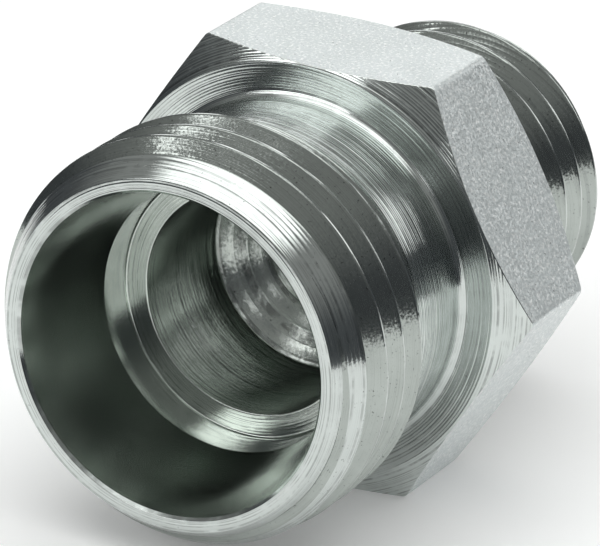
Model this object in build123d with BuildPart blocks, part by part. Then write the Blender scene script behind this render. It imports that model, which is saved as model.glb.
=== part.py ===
"""Reducing straight coupling for compression tube fittings, one turned piece of steel.

The coupling lies on one flat of its hexagon. Its axis runs along X, with the large end
towards -X, and the origin is under the middle of its length, on the surface it lies on.
Lengths along the axis are measured from the end face of the large barrel.
Both barrels carry a fine male thread, shown here as a plain cylinder of its outer diameter.
"""
import os
from math import cos, radians, tan

from build123d import *

# Hexagon
hex_across_flats = 19.0
hex_length = 6.4
hex_corner_radius = 0.3
hex_chamfer_angle = 30.0
hex_face_margin = 0.08

# Large barrel, for a 12 mm tube
large_thread_diameter = 17.95
large_thread_length = 5.65
large_barrel_length = 11.2
large_neck_diameter = 15.8
large_tube_diameter = 12.0
large_passage_diameter = 10.0
large_passage_depth = 12.9

# Small barrel, for an 8 mm tube
small_thread_diameter = 13.95
small_thread_length = 5.3
small_barrel_length = 10.4
small_neck_diameter = 11.8
small_tube_diameter = 8.0
small_passage_diameter = 6.0

# Both ends
socket_cone_angle = 24.0
tube_stop_depth = 7.0
tube_clearance = 0.1
mouth_allowance = 2.3
mouth_edge_break = 0.13
rim_width = 0.5
thread_lead_length = 1.7
thread_runout_angle = 30.0
neck_fillet_radius = 0.4
drill_point_angle = 118.0

# Places that follow from the sizes
hex_end = large_barrel_length + hex_length
overall_length = hex_end + small_barrel_length
hex_face_radius = hex_across_flats / 2 - hex_face_margin
large_mouth_diameter = large_tube_diameter + mouth_allowance
small_mouth_diameter = small_tube_diameter + mouth_allowance
cone_slope = tan(radians(socket_cone_angle / 2))

# Half sections: x is the distance from an end face, y the distance from the turning axis
large_end = Plane(
    origin=(-overall_length / 2, 0, hex_across_flats / 2), x_dir=(1, 0, 0), z_dir=(0, -1, 0)
)
small_end = Plane(
    origin=(overall_length / 2, 0, hex_across_flats / 2), x_dir=(-1, 0, 0), z_dir=(0, 1, 0)
)
turning_axis = Axis(large_end.origin, large_end.x_dir)
hex_face = Plane(origin=large_end.origin, x_dir=(0, 1, 0), z_dir=(1, 0, 0)).offset(large_barrel_length)


def barrel(end, mouth_diameter, thread_diameter, thread_length, neck_diameter, barrel_length):
    """Half section of a barrel: rim, lead chamfer, thread, run-out, undercut neck and fillet."""
    rim_radius = mouth_diameter / 2 + mouth_edge_break + rim_width
    thread_radius = thread_diameter / 2
    neck_radius = neck_diameter / 2
    runout_length = (thread_radius - neck_radius) / tan(radians(thread_runout_angle))
    with BuildSketch(end) as section:
        with BuildLine():
            outside = Polyline(
                (0, 0),
                (0, rim_radius),
                (thread_lead_length, thread_radius),
                (thread_length, thread_radius),
                (thread_length + runout_length, neck_radius),
                (barrel_length - neck_fillet_radius, neck_radius),
            )
            root = TangentArc(
                outside @ 1, (barrel_length, neck_radius + neck_fillet_radius), tangent=(1, 0)
            )
            Polyline(root @ 1, (barrel_length, 0), (0, 0))
        make_face()
    return section.sketch


def tube_socket(end, mouth_diameter, tube_diameter):
    """Half section of a tube socket: broken edge, cone, seat for the tube and flat stop."""
    mouth_radius = mouth_diameter / 2
    seat_radius = (tube_diameter + tube_clearance) / 2
    with BuildSketch(end) as section:
        with BuildLine():
            Polyline(
                (0, 0),
                (0, mouth_radius + mouth_edge_break),
                (mouth_edge_break, mouth_radius - mouth_edge_break * cone_slope),
                ((mouth_radius - seat_radius) / cone_slope, seat_radius),
                (tube_stop_depth, seat_radius),
                (tube_stop_depth, 0),
                close=True,
            )
        make_face()
    return section.sketch


def passage():
    """Half section of the stepped passage, with the cone that the large drill leaves."""
    large_radius = large_passage_diameter / 2
    small_radius = small_passage_diameter / 2
    drill_point_length = (large_radius - small_radius) / tan(radians(drill_point_angle / 2))
    with BuildSketch(large_end) as section:
        with BuildLine():
            Polyline(
                (0, 0),
                (0, large_radius),
                (large_passage_depth, large_radius),
                (large_passage_depth + drill_point_length, small_radius),
                (overall_length, small_radius),
                (overall_length, 0),
                close=True,
            )
        make_face()
    return section.sketch


def turned_blank():
    """Half section of the turned hexagon: two flat faces, and chamfers out to its corners."""
    corner_reach = hex_across_flats / 2 / cos(radians(30))
    chamfer_length = (corner_reach - hex_face_radius) * tan(radians(hex_chamfer_angle))
    with BuildSketch(large_end) as section:
        with BuildLine():
            Polyline(
                (large_barrel_length, 0),
                (large_barrel_length, hex_face_radius),
                (large_barrel_length + chamfer_length, corner_reach),
                (hex_end - chamfer_length, corner_reach),
                (hex_end, hex_face_radius),
                (hex_end, 0),
                close=True,
            )
        make_face()
    return section.sketch


with BuildPart() as coupling_body:
    # Hexagon bar with its two faces turned
    with BuildSketch(hex_face) as hexagon:
        RegularPolygon(radius=hex_across_flats / 2, side_count=6, major_radius=False)
        fillet(hexagon.vertices(), radius=hex_corner_radius)
    extrude(amount=hex_length)
    revolve(turned_blank(), axis=turning_axis, mode=Mode.INTERSECT)

    # The two barrels
    large_barrel = barrel(
        large_end,
        large_mouth_diameter,
        large_thread_diameter,
        large_thread_length,
        large_neck_diameter,
        large_barrel_length,
    )
    small_barrel = barrel(
        small_end,
        small_mouth_diameter,
        small_thread_diameter,
        small_thread_length,
        small_neck_diameter,
        small_barrel_length,
    )
    revolve([large_barrel, small_barrel], axis=turning_axis)

    # The passage and its tube sockets
    large_socket = tube_socket(large_end, large_mouth_diameter, large_tube_diameter)
    small_socket = tube_socket(small_end, small_mouth_diameter, small_tube_diameter)
    revolve([passage(), large_socket, small_socket], axis=turning_axis, mode=Mode.SUBTRACT)

coupling_body.part.label = "coupling_body"

os.makedirs("parts", exist_ok=True)
export_step(coupling_body.part, "parts/coupling_body.step")
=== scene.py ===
"""Looks of the reducing straight coupling: its surfaces with their threads, and the studio."""
from math import atan2, cos, pi, radians, sin, tan

import bmesh
import bpy
import numpy as np
from mathutils import Matrix, Vector


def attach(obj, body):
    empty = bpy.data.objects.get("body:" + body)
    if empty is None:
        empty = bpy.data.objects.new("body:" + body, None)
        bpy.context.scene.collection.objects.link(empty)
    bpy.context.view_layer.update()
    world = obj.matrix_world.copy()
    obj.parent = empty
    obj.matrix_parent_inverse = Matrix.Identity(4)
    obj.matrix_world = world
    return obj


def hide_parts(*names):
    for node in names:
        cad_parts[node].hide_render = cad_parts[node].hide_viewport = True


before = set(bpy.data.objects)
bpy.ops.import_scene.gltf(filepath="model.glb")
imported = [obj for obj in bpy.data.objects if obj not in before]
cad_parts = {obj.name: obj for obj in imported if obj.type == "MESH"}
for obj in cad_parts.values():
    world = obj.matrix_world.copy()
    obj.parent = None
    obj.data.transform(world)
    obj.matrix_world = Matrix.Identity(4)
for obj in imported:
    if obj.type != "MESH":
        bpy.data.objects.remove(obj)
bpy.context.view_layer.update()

MM = 0.001

# Sizes in millimetres, the same as those of the solid
hex_across_flats = 19.0
hex_length = 6.4
hex_corner_radius = 0.3
hex_chamfer_angle = radians(30)
hex_face_margin = 0.08
large_barrel_length = 11.2
small_barrel_length = 10.4
large_passage_radius = 5.0
large_passage_depth = 12.9
small_passage_radius = 3.0
drill_point_half_angle = radians(59)
socket_half_angle = radians(12)
tube_stop_depth = 7.0
tube_clearance = 0.1
mouth_allowance = 2.3
mouth_edge_break = 0.13
rim_width = 0.5
thread_lead_length = 1.7
runout_slope = tan(radians(30))
neck_fillet_radius = 0.4

# Rounding of edges that the solid has sharp
mouth_rounding = 0.03
edge_rounding = 0.05
passage_rounding = 0.06
stop_rounding = 0.08
cone_rounding = 0.1
drill_rounding = 0.1
neck_rounding = 0.15

# Form of a metric thread: half its crest, its root arc and its depth follow from its pitch
pitch = 1.5
half_crest = pitch / 16
root_arc_radius = 0.1443 * pitch
thread_depth = 0.6134 * pitch
flank_slope = tan(radians(60))
crest_rounding = 0.06
thread_margin = 0.01

# Places along the axis are counted from the face of the large end
hex_start = large_barrel_length
hex_end = hex_start + hex_length
overall_length = hex_end + small_barrel_length
axis_height = hex_across_flats / 2
hex_face_radius = axis_height - hex_face_margin

# Columns of the mesh, with closer ones at a corner, in shares of half the corner's arc
COLUMNS = 360
CORNER_COLUMNS = (-1.25, -1, -0.5, 0, 0.5, 1, 1.25)
CORNER_CLEARANCE = 1.7
corner_tangent = atan2(
    hex_corner_radius * sin(pi / 6),
    (axis_height - hex_corner_radius) / cos(pi / 6) + hex_corner_radius * cos(pi / 6),
)

# Rows of a rounded edge: step of its arc, and the shares of the bands beside it that it takes up
ARC_STEP = radians(20)
LONGEST_ROUNDING = 0.4
SUPPORT_REACH = 1.35
LONGEST_SUPPORT = 0.45

# Rows of a thread: those of its root arc, turns beyond its ends, and how it meets the blank
ROOT_ARC_ROWS = 5
SPARE_TURNS = 2
HALVINGS = 30
UNCUT_TOLERANCE = 1e-6

# Points closer than this, in metres, become one, and steeper edges than this stay sharp
MERGE_DISTANCE = 2e-7
SHARP_ANGLE = radians(32)


def column_angles():
    """Angles from the top flat towards -Y: even all round, closer on the hexagon's corners."""
    even = np.arange(COLUMNS) * 2 * pi / COLUMNS
    corners = pi / 6 + np.arange(6) * pi / 3
    from_corner = np.abs(even[:, None] - corners[None, :]).min(axis=1)
    kept = even[from_corner >= corner_tangent * CORNER_CLEARANCE]
    close = corners[:, None] + corner_tangent * np.array(CORNER_COLUMNS)
    return np.append(np.sort(np.concatenate([kept, close.ravel()])), 2 * pi)


angles = column_angles()


def hexagon_radius(angle):
    """Distance from the axis to the hexagon's surface, its corners rounded."""
    from_corner = np.abs(angle % (pi / 3) - pi / 6)
    centre = (axis_height - hex_corner_radius) / cos(pi / 6)
    flat = axis_height / np.cos(pi / 6 - from_corner)
    inside = np.clip(hex_corner_radius**2 - (centre * np.sin(from_corner)) ** 2, 0, None)
    rounded = centre * np.cos(from_corner) + np.sqrt(inside)
    return np.where(from_corner < corner_tangent, rounded, flat)


class Barrel:
    """One end of the coupling: its radii, and distances from its own end face."""

    def __init__(
        self, face, way, tube_diameter, thread_diameter, thread_length, neck_diameter, first_crest
    ):
        self.face = face
        self.way = way
        self.thread_length = thread_length
        self.first_crest = first_crest
        self.thread_radius = thread_diameter / 2
        self.neck_radius = neck_diameter / 2
        self.mouth_radius = (tube_diameter + mouth_allowance) / 2
        self.seat_radius = (tube_diameter + tube_clearance) / 2
        self.rim_radius = self.mouth_radius + mouth_edge_break + rim_width
        self.root_radius = self.thread_radius - thread_depth
        self.cone_end = (self.mouth_radius - self.seat_radius) / tan(socket_half_angle)
        self.runout_end = thread_length + (self.thread_radius - self.neck_radius) / runout_slope
        lead_slope = thread_lead_length / (self.thread_radius - self.rim_radius)
        root_lead = lead_slope * max(0.0, self.root_radius - self.rim_radius)
        self.thread_start = root_lead + thread_margin
        self.thread_end = thread_length + thread_depth / runout_slope

    def at(self, distance):
        """Place along the axis at a distance from this barrel's end face."""
        return self.face + self.way * distance

    def blank(self, s):
        """Radius of the turned barrel at a place along the axis, before it is threaded."""
        return np.interp(
            self.way * (s - self.face),
            [0, thread_lead_length, self.thread_length, self.runout_end],
            [self.rim_radius, self.thread_radius, self.thread_radius, self.neck_radius],
        )


large = Barrel(
    face=0.0, way=1, tube_diameter=12.0, thread_diameter=17.95, thread_length=5.65,
    neck_diameter=15.8, first_crest=2.4,
)
small = Barrel(
    face=overall_length, way=-1, tube_diameter=8.0, thread_diameter=13.95, thread_length=5.3,
    neck_diameter=11.8, first_crest=22.95,
)


class Skin:
    """Rows of points round the axis, from which a closed mesh is made."""

    def __init__(self):
        self.s, self.r, self.finish, self.uncut = [], [], [], []

    def row(self, s, r, finish, uncut=True):
        """Adds a row; finish is that of the band before it, uncut where no thread has cut it."""
        self.s.append(np.broadcast_to(s, angles.shape).astype(float))
        self.r.append(np.broadcast_to(r, angles.shape).astype(float))
        self.finish.append(finish)
        self.uncut.append(np.broadcast_to(uncut, angles.shape))

    def path(self, corners):
        """Straight bands between rounded corners (s, r, radius, finish of the band before it)."""
        points = []
        for s, r, _, _ in corners:
            columns = np.broadcast_to(s, angles.shape), np.broadcast_to(r, angles.shape)
            points.append(np.stack(columns, -1).astype(float))
        for i, (_, _, radius, finish) in enumerate(corners):
            if radius == 0 or i in (0, len(corners) - 1):
                self.row(*points[i].T, finish)
            else:
                self.rounded(points[i - 1 : i + 2], radius, finish, corners[i + 1][3])

    def rounded(self, points, radius, finish, next_finish):
        """Rounds the middle one of three points, with a row beside it in each band."""
        before, here, after = points
        back, ahead = before - here, after - here
        back_length = np.linalg.norm(back, axis=1, keepdims=True)
        ahead_length = np.linalg.norm(ahead, axis=1, keepdims=True)
        back, ahead = back / back_length, ahead / ahead_length
        half = np.arccos(np.clip((back * ahead).sum(1, keepdims=True), -1, 1)) / 2
        longest = LONGEST_ROUNDING * np.minimum(back_length, ahead_length)
        reach = np.minimum(radius / np.tan(half), longest)
        inward = (back + ahead) / np.linalg.norm(back + ahead, axis=1, keepdims=True)
        centre = here + inward * reach / np.cos(half)
        start, end = here + back * reach - centre, here + ahead * reach - centre
        sweep = pi - 2 * half
        steps = max(2, int(np.ceil(float(sweep.max()) / ARC_STEP)))
        support = np.minimum(reach * SUPPORT_REACH, LONGEST_SUPPORT * back_length)
        self.row(*(here + back * support).T, finish)
        for step in range(steps + 1):
            t = step / steps
            spoke = (start * np.sin((1 - t) * sweep) + end * np.sin(t * sweep)) / np.sin(sweep)
            self.row(*(centre + spoke).T, finish)
        support = np.minimum(reach * SUPPORT_REACH, LONGEST_SUPPORT * ahead_length)
        self.row(*(here + ahead * support).T, next_finish)


def thread_rows(skin, barrel):
    """A right-hand thread, cut into the barrel's blank from its lead chamfer to its run-out."""
    start, stop = sorted((barrel.at(barrel.thread_start), barrel.at(barrel.thread_end)))
    blank_corners = sorted((barrel.at(thread_lead_length), barrel.at(barrel.thread_length)))
    flank_foot = pitch / 2 - root_arc_radius * cos(pi / 6)
    flank_height = (flank_foot - half_crest) * flank_slope
    foot_radius = barrel.thread_radius - flank_height
    arc = np.linspace(-pi / 3, pi / 3, ROOT_ARC_ROWS)
    arc_s = root_arc_radius * np.sin(arc)
    arc_r = barrel.root_radius + root_arc_radius * (1 - np.cos(arc))
    lowest = ROOT_ARC_ROWS // 2

    def put(s, r):
        s = np.clip(s, start, stop)
        blank = barrel.blank(s)
        skin.row(s, np.minimum(r, blank), "thread", r >= blank - UNCUT_TOLERANCE)

    def round_over(s, r, inset, rising):
        """Rounds the edge between a flank and the land beside it with two short bands."""
        way = 1 if rising else -1
        on_flank = (s - way * inset / 2, r - inset / 2 * flank_slope)
        on_land = (s + way * inset, barrel.blank(s + way * inset))
        first, last = (on_flank, on_land) if rising else (on_land, on_flank)
        put(*first)
        put(first[0] / 4 + s / 2 + last[0] / 4, first[1] / 4 + r / 2 + last[1] / 4)
        put(*last)

    def flank_top(foot, top):
        """Where a flank that rises from foot to top meets the blank, found by halving."""
        low, high = np.zeros_like(foot), np.ones_like(foot)
        for _ in range(HALVINGS):
            middle = (low + high) / 2
            above = foot_radius + flank_height * middle > barrel.blank(foot + (top - foot) * middle)
            high = np.where(above, middle, high)
            low = np.where(above, low, middle)
        return foot + (top - foot) * high, foot_radius + flank_height * high

    first_turn = int((start - barrel.first_crest) / pitch) - SPARE_TURNS
    last_turn = int((stop - barrel.first_crest) / pitch) + SPARE_TURNS
    for turn in range(first_turn, last_turn):
        crest = barrel.first_crest + pitch * (turn + (angles - pi / 6) / (2 * pi))
        for step_s, step_r in zip(arc_s[lowest:], arc_r[lowest:]):
            put(crest - pitch / 2 + step_s, step_r)
        rise_s, rise_r = flank_top(crest - flank_foot, crest - half_crest)
        fall_s, fall_r = flank_top(crest + flank_foot, crest + half_crest)
        rise_s, fall_s = np.clip(rise_s, start, stop), np.clip(fall_s, start, stop)
        inset = np.clip((fall_s - rise_s) / 3, 0, crest_rounding)
        round_over(rise_s, rise_r, inset, True)
        for corner in blank_corners:
            s = np.clip(corner, rise_s + inset, fall_s - inset)
            put(s, barrel.blank(s))
        round_over(fall_s, fall_r, inset, False)
        for step_s, step_r in zip(arc_s[:lowest], arc_r[:lowest]):
            put(crest + pitch / 2 + step_s, step_r)


def coupling_skin():
    """The whole surface as one ring of bands, out of the large mouth and back through the bore."""
    skin = Skin()
    large_lead, large_out = large.at(large.thread_start), large.at(large.thread_end)
    small_lead, small_out = small.at(small.thread_start), small.at(small.thread_end)

    # Rim and thread of the large barrel
    skin.path([
        (mouth_edge_break, large.mouth_radius, 0, "bore"),
        (0, large.mouth_radius + mouth_edge_break, mouth_rounding, "turned"),
        (0, large.rim_radius, edge_rounding, "turned"),
        (large_lead, large.blank(large_lead), 0, "turned"),
    ])
    thread_rows(skin, large)

    # Neck, turned hexagon face, chamfer, flat, and the same on the other side
    reach = hexagon_radius(angles)
    chamfer = (reach - hex_face_radius) * tan(hex_chamfer_angle)
    skin.path([
        (large_out, large.blank(large_out), 0, "thread"),
        (large.runout_end, large.neck_radius, neck_rounding, "turned"),
        (hex_start, large.neck_radius, neck_fillet_radius, "turned"),
        (hex_start, hex_face_radius, edge_rounding, "face"),
        (hex_start + chamfer, reach, edge_rounding, "chamfer"),
        (hex_end - chamfer, reach, edge_rounding, "flat"),
        (hex_end, hex_face_radius, edge_rounding, "chamfer"),
        (hex_end, small.neck_radius, neck_fillet_radius, "face"),
        (small.at(small.runout_end), small.neck_radius, neck_rounding, "turned"),
        (small_out, small.blank(small_out), 0, "turned"),
    ])
    thread_rows(skin, small)

    # Rim and socket of the small barrel, the stepped bore, and the socket of the large barrel
    drill_point = (large_passage_radius - small_passage_radius) / tan(drill_point_half_angle)
    skin.path([
        (small_lead, small.blank(small_lead), 0, "turned"),
        (small.face, small.rim_radius, edge_rounding, "turned"),
        (small.face, small.mouth_radius + mouth_edge_break, mouth_rounding, "turned"),
        (small.at(mouth_edge_break), small.mouth_radius, cone_rounding, "turned"),
        (small.at(small.cone_end), small.seat_radius, edge_rounding, "bore"),
        (small.at(tube_stop_depth), small.seat_radius, stop_rounding, "bore"),
        (small.at(tube_stop_depth), small_passage_radius, passage_rounding, "stop"),
        (large_passage_depth + drill_point, small_passage_radius, edge_rounding, "drilled"),
        (large_passage_depth, large_passage_radius, drill_rounding, "drilled"),
        (tube_stop_depth, large_passage_radius, passage_rounding, "drilled"),
        (tube_stop_depth, large.seat_radius, stop_rounding, "stop"),
        (large.cone_end, large.seat_radius, edge_rounding, "bore"),
        (mouth_edge_break, large.mouth_radius, 0, "bore"),
    ])
    return skin


def face_finishes(skin, finishes):
    """Number of each face's finish; the barrel between thread grooves counts as turned."""
    s = np.array(skin.s)
    numbers = np.array([finishes.index(finish) for finish in skin.finish[1:]])
    numbers = np.repeat(numbers[:, None], s.shape[1] - 1, 1)
    uncut = np.array(skin.uncut)
    uncut = uncut[:-1, :-1] & uncut[:-1, 1:] & uncut[1:, :-1] & uncut[1:, 1:]
    uncut &= numbers == finishes.index("thread")
    middle = (s[:-1, :-1] + s[1:, 1:]) / 2
    on_lead = (middle < thread_lead_length) | (middle > overall_length - thread_lead_length)
    numbers = np.where(uncut, finishes.index("turned"), numbers)
    return np.where(uncut & on_lead, finishes.index("lead"), numbers).ravel()


def mesh_from(skin, name, materials):
    """One closed mesh from the skin's rows, with a material for each finish."""
    s, r = np.array(skin.s), np.array(skin.r)
    x = s - overall_length / 2
    y = -r * np.sin(angles)
    z = axis_height + r * np.cos(angles)
    points = np.stack([x, y, z], -1).reshape(-1, 3) * MM
    index = np.arange(s.size).reshape(s.shape)
    quads = np.stack([index[:-1, :-1], index[:-1, 1:], index[1:, 1:], index[1:, :-1]], -1)
    finishes = face_finishes(skin, list(materials))
    mesh = bpy.data.meshes.new(name)
    mesh.from_pydata(points.tolist(), [], quads.reshape(-1, 4).tolist())
    for material in materials.values():
        mesh.materials.append(material)
    mesh.polygons.foreach_set("material_index", finishes.astype(np.int32))
    bm = bmesh.new()
    bm.from_mesh(mesh)
    bmesh.ops.remove_doubles(bm, verts=bm.verts, dist=MERGE_DISTANCE)
    bmesh.ops.recalc_face_normals(bm, faces=bm.faces)
    bm.to_mesh(mesh)
    bm.free()
    mesh.polygons.foreach_set("use_smooth", np.ones(len(mesh.polygons), bool))
    mesh.set_sharp_from_angle(angle=SHARP_ANGLE)
    mesh.update()
    return mesh


class Nodes:
    """Short ways to add nodes to a tree; each gives the new node's output."""

    def __init__(self, tree):
        self.tree = tree

    def feed(self, socket, value):
        """Links a node's output to a socket, or sets the socket to a constant."""
        if isinstance(value, bpy.types.NodeSocket):
            self.tree.links.new(value, socket)
        else:
            socket.default_value = value

    def number(self, operation, *values):
        """Arithmetic on numbers."""
        return self.calculated("ShaderNodeMath", operation, values)

    def vector(self, operation, *values):
        """Arithmetic on vectors."""
        return self.calculated("ShaderNodeVectorMath", operation, values)

    def calculated(self, kind, operation, values):
        """Adds a node of arithmetic and feeds it its values."""
        node = self.tree.nodes.new(kind)
        node.operation = operation
        for socket, value in zip(node.inputs, values):
            self.feed(socket, value)
        return node.outputs[0]

    def scaled(self, vector, length):
        """A vector times a number."""
        node = self.tree.nodes.new("ShaderNodeVectorMath")
        node.operation = "SCALE"
        self.feed(node.inputs[0], vector)
        self.feed(node.inputs["Scale"], length)
        return node.outputs[0]

    def noise(self, place, scale, detail=2.0, roughness=0.5, output="Fac"):
        """Smooth noise of a place in millimetres; scale is in cells a millimetre."""
        node = self.tree.nodes.new("ShaderNodeTexNoise")
        if isinstance(place, bpy.types.NodeSocketVector):
            self.feed(node.inputs["Vector"], place)
        else:
            node.noise_dimensions = "1D"
            self.feed(node.inputs["W"], place)
        node.inputs["Scale"].default_value = scale
        node.inputs["Detail"].default_value = detail
        node.inputs["Roughness"].default_value = roughness
        return node.outputs[output]

    def mixed(self, share, first, second):
        """A colour between two others, which are outputs or red, green and blue."""
        node = self.tree.nodes.new("ShaderNodeMix")
        node.data_type = "RGBA"
        self.feed(node.inputs["Factor"], share)
        for socket, value in ((node.inputs[6], first), (node.inputs[7], second)):
            self.feed(socket, value if isinstance(value, bpy.types.NodeSocket) else (*value, 1))
        return node.outputs[2]

    def between(self, value, low, high):
        """0 below low, 1 above high and a smooth step in between."""
        node = self.tree.nodes.new("ShaderNodeMapRange")
        node.interpolation_type = "SMOOTHSTEP"
        self.feed(node.inputs["Value"], value)
        node.inputs["From Min"].default_value = low
        node.inputs["From Max"].default_value = high
        return node.outputs["Result"]


class Turned:
    """A turned surface in millimetres: places in space and along its section, and the way round."""

    def __init__(self, nodes):
        place = nodes.tree.nodes.new("ShaderNodeTexCoord").outputs["Object"]
        self.place = nodes.scaled(place, 1 / MM)
        parts = nodes.tree.nodes.new("ShaderNodeSeparateXYZ")
        nodes.feed(parts.inputs[0], nodes.vector("SUBTRACT", self.place, (0.0, 0.0, axis_height)))
        x, y, z = parts.outputs
        squares = nodes.number("ADD", nodes.number("MULTIPLY", y, y), nodes.number("MULTIPLY", z, z))
        hex_middle = (hex_start + hex_end) / 2 - overall_length / 2
        from_middle = nodes.number("ABSOLUTE", nodes.number("SUBTRACT", x, hex_middle))
        self.section = nodes.number("SUBTRACT", nodes.number("SQRT", squares), from_middle)
        way_round = nodes.tree.nodes.new("ShaderNodeCombineXYZ")
        nodes.feed(way_round.inputs[1], nodes.number("MULTIPLY", z, -1.0))
        nodes.feed(way_round.inputs[2], y)
        self.way_round = nodes.vector("NORMALIZE", way_round.outputs[0])


# Noises of the plating, its painted glints and painted groove shade, in cells a millimetre, and the
# steps that are taken from them
patch_noise = dict(scale=0.35, detail=3.0, roughness=0.6)
patch_step = (0.35, 0.65)
gloss_step = (0.3, 0.7)
glint_noise = dict(scale=7.0, detail=2.0, roughness=0.7)
glint_step = (0.52, 0.64)
pit_noise = dict(scale=9.0, detail=2.0, roughness=0.6)
pit_step = (0.5, 0.57)
streak_noise = dict(scale=1.3, detail=2.0, roughness=0.6)
streak_step = (0.3, 0.6)

# Noises of the tool marks and of their painted shade, in cells a groove; the drift of the grooves is
# in cells a millimetre
scatter_cells = 0.7
scatter_noise = dict(detail=3.0, roughness=0.7)
shadow_cells = 1.1
shadow_noise = dict(detail=2.0, roughness=0.8)
shadow_step = (0.5, 0.6)
drift_scale = 2.0
drift_share = 0.6

# Colours, the share of them that is left in pits and in the painted shade of the grooves, and
# roughness in worn places
plating = (0.63, 0.67, 0.65)
dull_plating = (0.56, 0.60, 0.565)
# Thread grooves: the plating darkened with painted shade in their flanks and roots
flank_plating_with_painted_shade = (0.45, 0.485, 0.46)
blasted = (0.69, 0.735, 0.735)
# Painted glints: near-white spots in the colour of the flats, standing in for glints of light off
# the blasted grain
painted_glint = (0.97, 0.99, 0.98)
dark_share = 0.25
dull_gain = 1.12
worn_loss = 0.25

# Looks of the finishes. A groove is a tool mark's width in millimetres; depth, scatter and
# grain are slopes. Fewer pits show where pits is higher. The other values are shares, among them
# those of painted shade in the tool-mark grooves and of painted glints on the flats.
looks = {
    "turned": dict(
        colour=plating, roughness=0.11, groove=0.13, depth=0.18, scatter=0.24,
        grain=0.03, grain_scale=14.0, pits=0.2, patches=0.06, groove_shade=0.5,
    ),
    "lead": dict(
        colour=plating, roughness=0.10, groove=0.27, depth=0.3, scatter=0.35,
        grain=0.05, grain_scale=14.0, pits=0.17, patches=0.06, groove_shade=0.4,
    ),
    "face": dict(
        colour=plating, roughness=0.13, groove=0.12, depth=0.16, scatter=0.18,
        grain=0.03, grain_scale=14.0, pits=0.2, patches=0.08, groove_shade=0.4,
    ),
    "chamfer": dict(
        colour=plating, roughness=0.11, groove=0.17, depth=0.2, scatter=0.15,
        grain=0.03, grain_scale=14.0, pits=0.25, patches=0.05, groove_shade=0.6,
    ),
    # The flats carry painted glints in their colour
    "flat": dict(
        colour=blasted, roughness=0.42, groove=0.5, depth=0.0, scatter=0.0,
        grain=0.7, grain_scale=8.0, pits=0.16, patches=0.03, groove_shade=0.0, glints=0.9, metal=0.55,
    ),
    # The darker colour of the thread's grooves is painted shade
    "thread": dict(
        colour=flank_plating_with_painted_shade, roughness=0.13, groove=0.08, depth=0.03, scatter=0.05,
        grain=0.1, grain_scale=10.0, pits=0.15, patches=0.1, groove_shade=0.2,
    ),
    "bore": dict(
        colour=dull_plating, roughness=0.15, groove=0.07, depth=0.03, scatter=0.04,
        grain=0.02, grain_scale=8.0, pits=0.22, patches=0.1, groove_shade=0.15,
    ),
    "stop": dict(
        colour=dull_plating, roughness=0.16, groove=0.15, depth=0.06, scatter=0.06,
        grain=0.04, grain_scale=8.0, pits=0.2, patches=0.1, groove_shade=0.5,
    ),
    "drilled": dict(
        colour=dull_plating, roughness=0.22, groove=0.22, depth=0.05, scatter=0.1,
        grain=0.13, grain_scale=7.0, pits=0.16, patches=0.12, groove_shade=0.6,
    ),
}


def tool_marks(nodes, turned, groove, depth, scatter):
    """Slope of the rounded grooves that a turning tool leaves, of uneven depth."""
    drift = nodes.number("MULTIPLY", nodes.noise(turned.section, drift_scale), drift_share)
    count = nodes.number("ADD", nodes.number("DIVIDE", turned.section, groove), drift)
    across = nodes.number("SUBTRACT", nodes.number("FRACT", count), 0.5)
    uneven = nodes.noise(turned.section, scatter_cells / groove, **scatter_noise)
    uneven = nodes.number("SUBTRACT", uneven, 0.5)
    regular = nodes.number("MULTIPLY", across, 2 * depth)
    return nodes.number("ADD", regular, nodes.number("MULTIPLY", uneven, 2 * scatter))


def tilted_normal(nodes, turned, slope, grain, grain_scale):
    """The surface's normal, tilted by tool marks along the section and by a fine grain."""
    normal = nodes.tree.nodes.new("ShaderNodeNewGeometry").outputs["Normal"]
    along = nodes.vector("CROSS_PRODUCT", turned.way_round, normal)
    tilted = nodes.vector("ADD", normal, nodes.scaled(along, slope))
    bumps = nodes.noise(turned.place, grain_scale, detail=1.0, output="Color")
    bumps = nodes.vector("SUBTRACT", bumps, (0.5, 0.5, 0.5))
    return nodes.vector("NORMALIZE", nodes.vector("ADD", tilted, nodes.scaled(bumps, grain)))


def worn_colour_with_painted_light(nodes, turned, wear, colour, groove, pits, patches, groove_shade, glints):
    """Colour of the plating, with duller patches and dark pits, and with painted light: painted
    glints as bright spots and painted shade in the grooves.
    """
    dull = tuple(c * (1 - patches) for c in colour)
    dark = tuple(c * dark_share for c in colour)
    base = nodes.mixed(nodes.between(wear, *patch_step), dull, colour)
    # Painted glints: bright spots mixed into the colour
    bright = nodes.between(nodes.noise(turned.place, **glint_noise), *glint_step)
    base = nodes.mixed(nodes.number("MULTIPLY", bright, glints), base, painted_glint)
    pitted = nodes.between(nodes.noise(turned.place, **pit_noise), *(pits + end for end in pit_step))
    base = nodes.mixed(pitted, base, dark)
    # Painted shade in the tool-mark grooves, in random streaks
    grooves = nodes.noise(turned.section, shadow_cells / groove, **shadow_noise)
    streaks = nodes.between(nodes.noise(turned.place, **streak_noise), *streak_step)
    streaks = nodes.number("MULTIPLY", streaks, groove_shade)
    shadow = nodes.number("MULTIPLY", nodes.between(grooves, *shadow_step), streaks)
    return nodes.mixed(shadow, base, dark)


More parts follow.
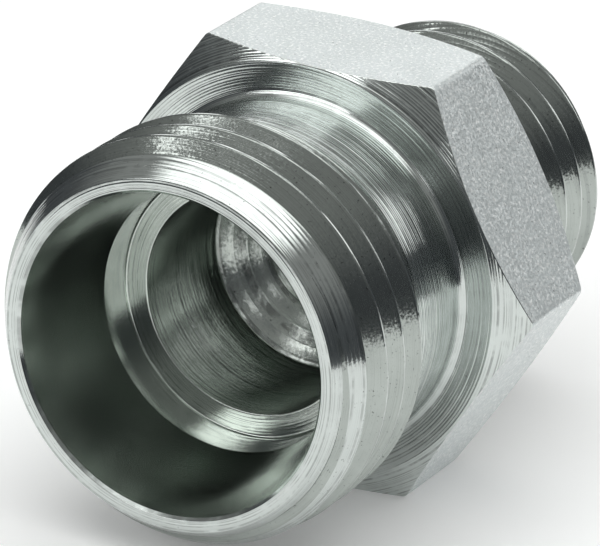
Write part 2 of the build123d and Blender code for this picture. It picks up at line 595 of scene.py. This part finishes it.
def steel(
    name, colour, roughness, groove, depth, scatter, grain, grain_scale, pits, patches, groove_shade,
    glints=0.0, metal=1.0,
):
    """Zinc-plated steel with tool marks, a fine grain, pits and duller patches, and with painted
    glints as bright spots and painted shade in the tool-mark grooves.
    """
    material = bpy.data.materials.new(name)
    material.use_nodes = True
    nodes = Nodes(material.node_tree)
    shader = nodes.tree.nodes["Principled BSDF"]
    shader.inputs["Metallic"].default_value = metal
    turned = Turned(nodes)
    slope = tool_marks(nodes, turned, groove, depth, scatter)
    normal = tilted_normal(nodes, turned, slope, grain, grain_scale)
    wear = nodes.noise(turned.place, **patch_noise)
    base = worn_colour_with_painted_light(nodes, turned, wear, colour, groove, pits, patches, groove_shade, glints)
    gloss = nodes.number("MULTIPLY", nodes.between(wear, *gloss_step), -worn_loss * roughness)
    nodes.feed(shader.inputs["Normal"], normal)
    nodes.feed(shader.inputs["Base Color"], base)
    nodes.feed(shader.inputs["Roughness"], nodes.number("ADD", gloss, dull_gain * roughness))
    return material


materials = {finish: steel("steel_" + finish, **look) for finish, look in looks.items()}
mesh = mesh_from(coupling_skin(), "coupling", materials)
coupling = bpy.data.objects.new("coupling", mesh)
bpy.context.collection.objects.link(coupling)
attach(coupling, "root")
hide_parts("coupling_body")
print("coupling triangles", sum(len(p.vertices) - 2 for p in mesh.polygons))


def direction(azimuth, elevation):
    """Unit vector towards an azimuth, counted from -Y towards +X, and an elevation, in degrees."""
    azimuth, elevation = radians(azimuth), radians(elevation)
    return Vector((
        sin(azimuth) * cos(elevation),
        -cos(azimuth) * cos(elevation),
        sin(elevation),
    ))


# Camera, at the photograph's angle
camera_distance = 0.27335
camera_azimuth = -62.618
camera_elevation = 22.721
camera_roll = radians(3.477)
camera_target = Vector((-0.0012, 0.00067, 0.00875))

towards_camera = direction(camera_azimuth, camera_elevation)
camera_data = bpy.data.cameras.new("camera")
camera_data.lens = 379.3
camera_data.sensor_width = 36
camera_data.clip_start = 0.01
camera = bpy.data.objects.new("camera", camera_data)
camera.location = camera_target + towards_camera * camera_distance
camera.rotation_mode = "QUATERNION"
level = (-towards_camera).to_track_quat("-Z", "Y")
camera.rotation_quaternion = level @ Matrix.Rotation(camera_roll, 3, "Z").to_quaternion()
bpy.context.collection.objects.link(camera)
bpy.context.scene.camera = camera


def paper(name):
    """Pale matt paper that gives off a little light, so that it stays near white."""
    material = bpy.data.materials.new(name)
    material.use_nodes = True
    shader = material.node_tree.nodes["Principled BSDF"]
    shader.inputs["Roughness"].default_value = 0.9
    shader.inputs["Base Color"].default_value = (0.92, 0.92, 0.92, 1)
    shader.inputs["Emission Color"].default_value = (1, 1, 1, 1)
    shader.inputs["Emission Strength"].default_value = 0.15
    return material


# Floor, a small round sheet
sheet_radius = 0.085
bpy.ops.mesh.primitive_circle_add(vertices=96, radius=sheet_radius, fill_type="NGON")
floor = bpy.context.object
floor.name = "floor"
floor.data.materials.append(paper("floor"))


lamp_distance = 0.6


def softbox(name, azimuth, elevation, width, height, radiance):
    """A rectangular lamp that faces the part from a direction given as the camera's is."""
    data = bpy.data.lights.new(name, "AREA")
    data.shape = "RECTANGLE"
    data.size = width
    data.size_y = height
    data.energy = radiance * width * height * pi
    lamp = bpy.data.objects.new(name, data)
    towards = direction(azimuth, elevation)
    lamp.location = Vector((0, 0, axis_height * MM)) + towards * lamp_distance
    lamp.rotation_mode = "QUATERNION"
    lamp.rotation_quaternion = towards.to_track_quat("Z", "Y")
    lamp.visible_camera = False
    bpy.context.collection.objects.link(lamp)


# Lamps: azimuth and elevation in degrees, width and height in metres, and radiance
softbox("lamp_left", -121, 30, 0.34, 0.22, 2.6)
softbox("lamp_right", -76, 15, 0.08, 0.08, 1.3)
softbox("lamp_back", 117, 20, 0.30, 0.20, 1.5)
softbox("lamp_strip", 96, 36, 0.30, 0.06, 1.2)
softbox("lamp_side", 62, 21, 0.30, 0.22, 1.2)

# Light of the room: pale ground, dark band at the horizon, dim walls and a bright dome
ground_light = (0.6, 0.61, 0.6)
horizon_light = (0.07, 0.075, 0.08)
wall_light = (0.28, 0.285, 0.28)
dome_light = (1.9, 1.92, 1.9)


def room_light(nodes):
    """Colour of the room by height; each step is given by the elevations of its two ends."""
    parts = nodes.tree.nodes.new("ShaderNodeSeparateXYZ")
    nodes.feed(parts.inputs[0], nodes.tree.nodes.new("ShaderNodeTexCoord").outputs["Generated"])

    def step(low, high):
        return nodes.between(parts.outputs[2], sin(radians(low)), sin(radians(high)))

    walls = nodes.mixed(step(6, 40), horizon_light, wall_light)
    above = nodes.mixed(step(47, 60), walls, dome_light)
    return nodes.mixed(step(-20, -6), ground_light, above)


def studio():
    """World that lights the part as the room does, and is white for the camera."""
    world = bpy.data.worlds.new("studio")
    world.use_nodes = True
    nodes = Nodes(world.node_tree)
    nodes.tree.nodes.clear()
    lit = nodes.tree.nodes.new("ShaderNodeBackground")
    nodes.feed(lit.inputs["Color"], room_light(nodes))
    seen = nodes.tree.nodes.new("ShaderNodeBackground")
    seen.inputs["Color"].default_value = (1, 1, 1, 1)
    choose = nodes.tree.nodes.new("ShaderNodeMixShader")
    ray = nodes.tree.nodes.new("ShaderNodeLightPath")
    nodes.feed(choose.inputs["Fac"], ray.outputs["Is Camera Ray"])
    nodes.feed(choose.inputs[1], lit.outputs[0])
    nodes.feed(choose.inputs[2], seen.outputs[0])
    output = nodes.tree.nodes.new("ShaderNodeOutputWorld")
    nodes.feed(output.inputs["Surface"], choose.outputs[0])
    return world


bpy.context.scene.world = studio()
bpy.context.scene.view_settings.view_transform = "Standard"
